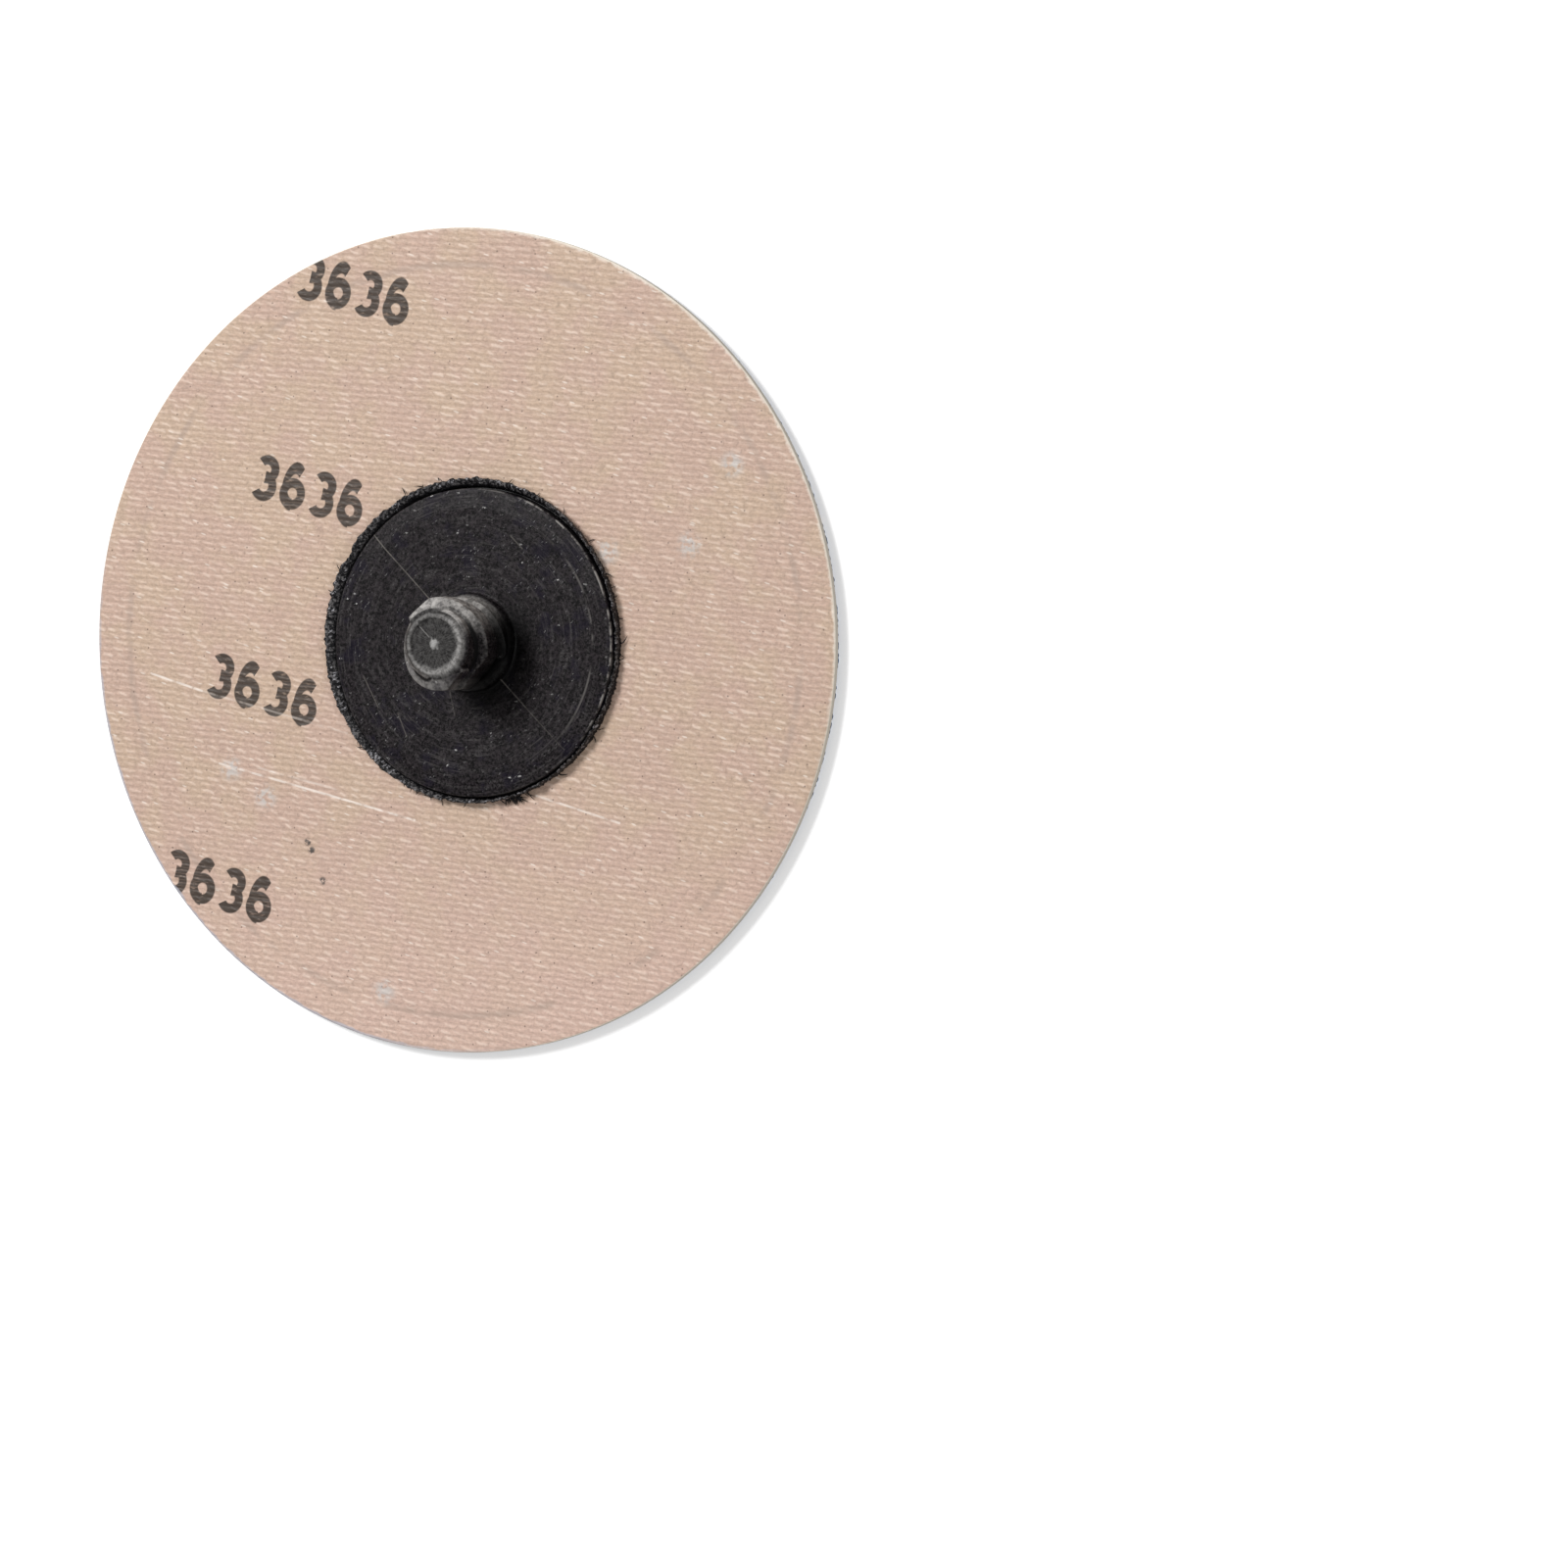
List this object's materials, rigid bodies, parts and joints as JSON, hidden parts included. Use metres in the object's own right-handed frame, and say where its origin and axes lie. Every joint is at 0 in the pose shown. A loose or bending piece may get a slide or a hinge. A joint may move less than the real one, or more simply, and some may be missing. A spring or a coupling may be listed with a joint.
{
  "type": "quick-change sanding disc",
  "caption": "Round abrasive cloth disc with coarse grain on one face and a moulded hub with a coarse threaded stud on the other.",
  "frame": {"origin": "centre of the disc in the plane of the grain tips, where the disc lies on a surface", "axes": "+Z out of the cloth back along the stud, +X and +Y in the disc's plane, the disc round about Z"},
  "size_m": [0.0762, 0.0762, 0.0103],
  "materials": {
    "grain": "coarse blue resin-bonded grain, glossy size coat",
    "cloth": "stiff beige-pink sateen cloth filled with resin",
    "hub_plastic": "satin black nylon, scuffed",
    "bond_plastic": "ragged black squeezed-out bond"
  },
  "bodies": {
    "root": {"abrasive_coat": "grain", "cloth_backing": "cloth", "hub": "hub_plastic", "bond_bead": "bond_plastic"}
  },
  "joints": []
}
